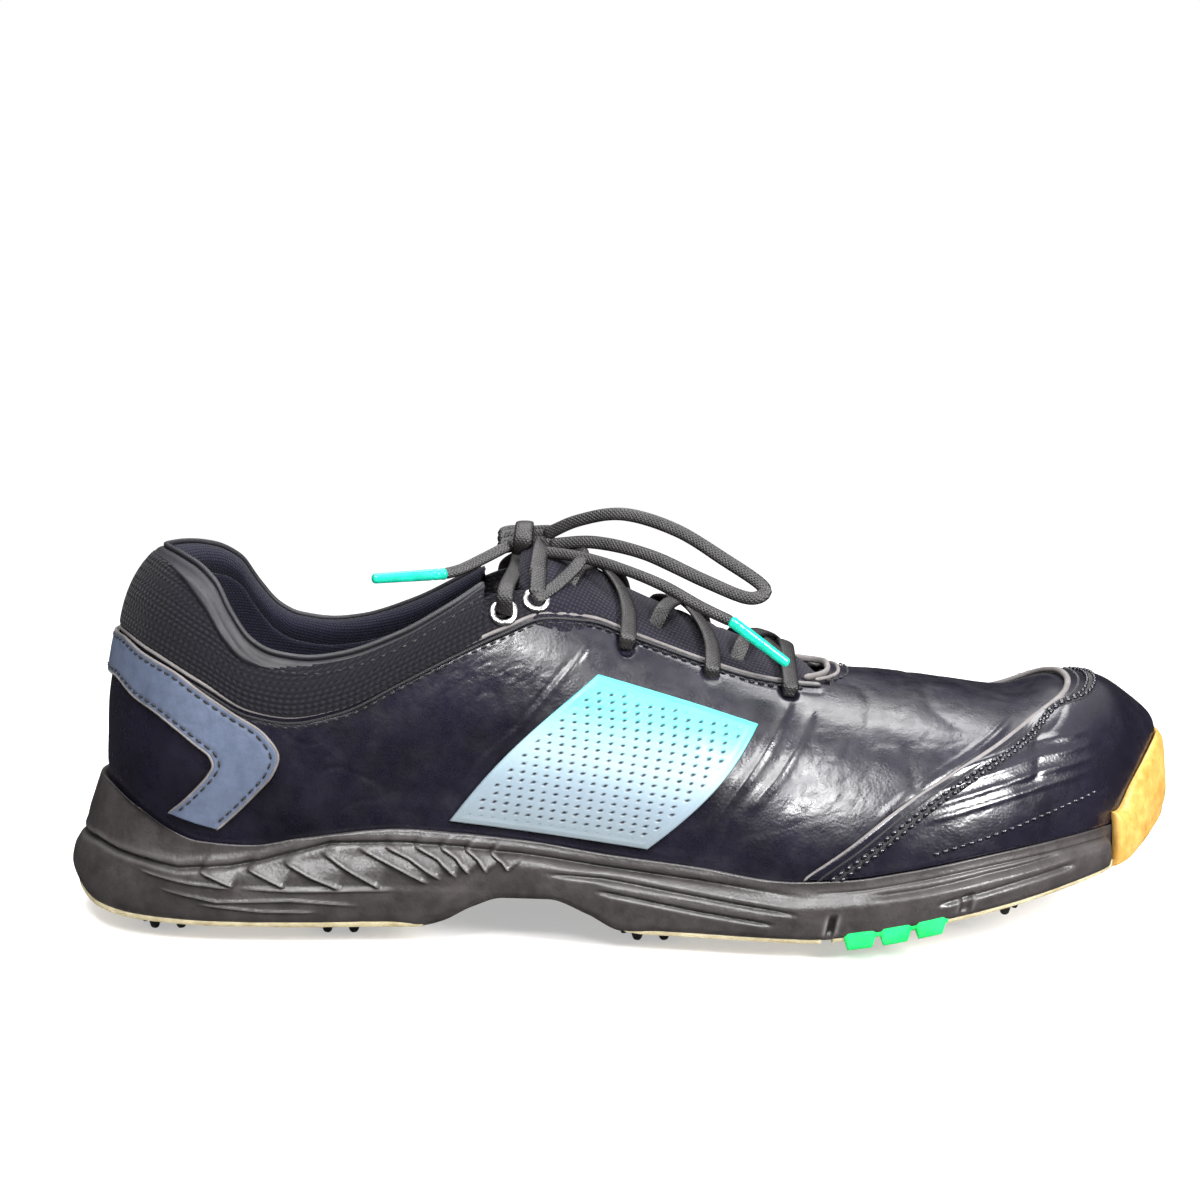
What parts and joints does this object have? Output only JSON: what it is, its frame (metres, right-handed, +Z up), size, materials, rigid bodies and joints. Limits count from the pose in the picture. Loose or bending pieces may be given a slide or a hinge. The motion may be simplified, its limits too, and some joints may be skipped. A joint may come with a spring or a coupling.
{
  "type": "golf shoe",
  "caption": "Low-cut right-foot golf shoe with a flexing foam sole, twist-lock cleats, an open padded collar, a tongue and a laced throat.",
  "frame": {"origin": "middle of the shoe's length and width, on the ground", "axes": "+X from heel to toe, +Z up, the outer side of the foot faces -Y"},
  "size_m": [0.3048, 0.1094, 0.1121],
  "materials": {
    "leather": "semi-gloss black leather with a blue-violet tint and fine creases",
    "overlay": "matte grey-blue coated leather with light raw edges",
    "panel": "aqua fading through white to grey-blue, satin, perforated",
    "knit": "black ribbed knit",
    "padding": "soft open foam",
    "lining": "dark navy textile",
    "board": "stiff fibre board",
    "tongue_textile": "black padded textile",
    "lace": "dark grey-brown woven cord",
    "aglet": "teal plastic",
    "eyelet": "polished metal",
    "midsole": "matte dark moulded foam",
    "sockliner": "textile-topped foam",
    "bumper": "amber rubber, slightly translucent",
    "outsole": "cream rubber, slightly translucent",
    "green_rubber": "bright green rubber",
    "cleat": "black moulded plastic"
  },
  "bodies": {
    "shoe": {"quarter_lateral": "leather", "quarter_medial": "leather", "heel_overlay": "overlay", "side_panel_lateral": "panel", "side_panel_medial": "panel", "eyestay_lateral": "knit", "eyestay_medial": "knit", "collar_outer": "knit", "collar_foam": "padding", "quarter_lining": "lining", "heel_counter": "board", "lace_body": "lace", "eyelet_lateral_upper": "eyelet", "eyelet_lateral_lower": "eyelet", "eyelet_medial_upper": "eyelet", "eyelet_medial_lower": "eyelet", "midsole_rear": "midsole", "shank": "board", "outsole_heel": "outsole", "outsole_ball": "outsole", "strobel_board": "board", "sockliner": "sockliner", "socket_heel_lateral_rear": "cleat", "socket_heel_medial_rear": "cleat", "socket_heel_lateral_front": "cleat", "socket_heel_medial_front": "cleat", "socket_ball_lateral": "cleat", "socket_ball_medial": "cleat", "socket_ball_centre": "cleat"},
    "forefoot": {"midsole_forefoot": "midsole", "vamp": "leather", "vamp_lining": "lining", "toe_puff": "board", "toe_overlay": "leather", "toe_bumper": "bumper", "outsole_toe": "outsole", "lug_pod_lateral": "green_rubber", "lug_pod_medial": "green_rubber", "socket_toe_lateral": "cleat", "socket_toe_medial": "cleat", "socket_toe_tip": "cleat"},
    "tongue_flap": {"tongue": "tongue_textile"},
    "bow_loop": {"lace_loop": "lace"},
    "cord_end_left": {"lace_end_left": "lace", "aglet_left": "aglet"},
    "cord_end_right": {"lace_end_right": "lace", "aglet_right": "aglet"},
    "cleat_heel_lateral_rear_body": {"cleat_heel_lateral_rear": "cleat"},
    "cleat_heel_medial_rear_body": {"cleat_heel_medial_rear": "cleat"},
    "cleat_heel_lateral_front_body": {"cleat_heel_lateral_front": "cleat"},
    "cleat_heel_medial_front_body": {"cleat_heel_medial_front": "cleat"},
    "cleat_ball_lateral_body": {"cleat_ball_lateral": "cleat"},
    "cleat_ball_medial_body": {"cleat_ball_medial": "cleat"},
    "cleat_ball_centre_body": {"cleat_ball_centre": "cleat"},
    "cleat_toe_lateral_body": {"cleat_toe_lateral": "cleat"},
    "cleat_toe_medial_body": {"cleat_toe_medial": "cleat"},
    "cleat_toe_tip_body": {"cleat_toe_tip": "cleat"}
  },
  "joints": [
    {"name": "forefoot_flex", "type": "hinge", "parent": "shoe", "child": "forefoot", "pos_m": [0.0521, 0, 0.02103], "axis": [0, -1, 0], "range_deg": [0, 35], "stiffness_Nm_per_rad": 0.6, "deforming": ["vamp", "vamp_lining", "toe_overlay", "strobel_board", "sockliner"]},
    {"name": "tongue_swing", "type": "hinge", "parent": "shoe", "child": "tongue_flap", "pos_m": [0.0531, 0.0063, 0.062], "axis": [0, -1, 0], "range_deg": [0, 9]},
    {"name": "bow_loop_swing", "type": "hinge", "parent": "shoe", "child": "bow_loop", "pos_m": [-0.0273, 0.0023, 0.1026], "axis": [0, -1, 0], "range_deg": [0, 35]},
    {"name": "cord_end_left_swing", "type": "hinge", "parent": "shoe", "child": "cord_end_left", "pos_m": [-0.0273, 0.0023, 0.1026], "axis": [0, 0, 1], "range_deg": [0, 26]},
    {"name": "cord_end_right_swing", "type": "hinge", "parent": "shoe", "child": "cord_end_right", "pos_m": [-0.0273, 0.0023, 0.1026], "axis": [0, 0, -1], "range_deg": [0, 17]},
    {"name": "twist_heel_lateral_rear", "type": "hinge", "parent": "shoe", "child": "cleat_heel_lateral_rear_body", "pos_m": [-0.1229, -0.0147, 0.0045], "axis": [0, 0, 1], "range_deg": [0, 90]},
    {"name": "twist_heel_medial_rear", "type": "hinge", "parent": "shoe", "child": "cleat_heel_medial_rear_body", "pos_m": [-0.1229, 0.0193, 0.0045], "axis": [0, 0, 1], "range_deg": [0, 90]},
    {"name": "twist_heel_lateral_front", "type": "hinge", "parent": "shoe", "child": "cleat_heel_lateral_front_body", "pos_m": [-0.0759, -0.0187, 0.0045], "axis": [0, 0, 1], "range_deg": [0, 90]},
    {"name": "twist_heel_medial_front", "type": "hinge", "parent": "shoe", "child": "cleat_heel_medial_front_body", "pos_m": [-0.0759, 0.0193, 0.0045], "axis": [0, 0, 1], "range_deg": [0, 90]},
    {"name": "twist_ball_lateral", "type": "hinge", "parent": "shoe", "child": "cleat_ball_lateral_body", "pos_m": [0.0071, -0.0257, 0.0045], "axis": [0, 0, 1], "range_deg": [0, 90]},
    {"name": "twist_ball_medial", "type": "hinge", "parent": "shoe", "child": "cleat_ball_medial_body", "pos_m": [0.0141, 0.0183, 0.0045], "axis": [0, 0, 1], "range_deg": [0, 90]},
    {"name": "twist_ball_centre", "type": "hinge", "parent": "shoe", "child": "cleat_ball_centre_body", "pos_m": [0.0371, -0.0067, 0.0045], "axis": [0, 0, 1], "range_deg": [0, 90]},
    {"name": "twist_toe_lateral", "type": "hinge", "parent": "forefoot", "child": "cleat_toe_lateral_body", "pos_m": [0.0981, -0.0217, 0.0045], "axis": [0, 0, 1], "range_deg": [0, 90]},
    {"name": "twist_toe_medial", "type": "hinge", "parent": "forefoot", "child": "cleat_toe_medial_body", "pos_m": [0.0971, 0.0263, 0.0045], "axis": [0, 0, 1], "range_deg": [0, 90]},
    {"name": "twist_toe_tip", "type": "hinge", "parent": "forefoot", "child": "cleat_toe_tip_body", "pos_m": [0.1231, 0.0103, 0.0045], "axis": [0, 0, 1], "range_deg": [0, 90]}
  ]
}
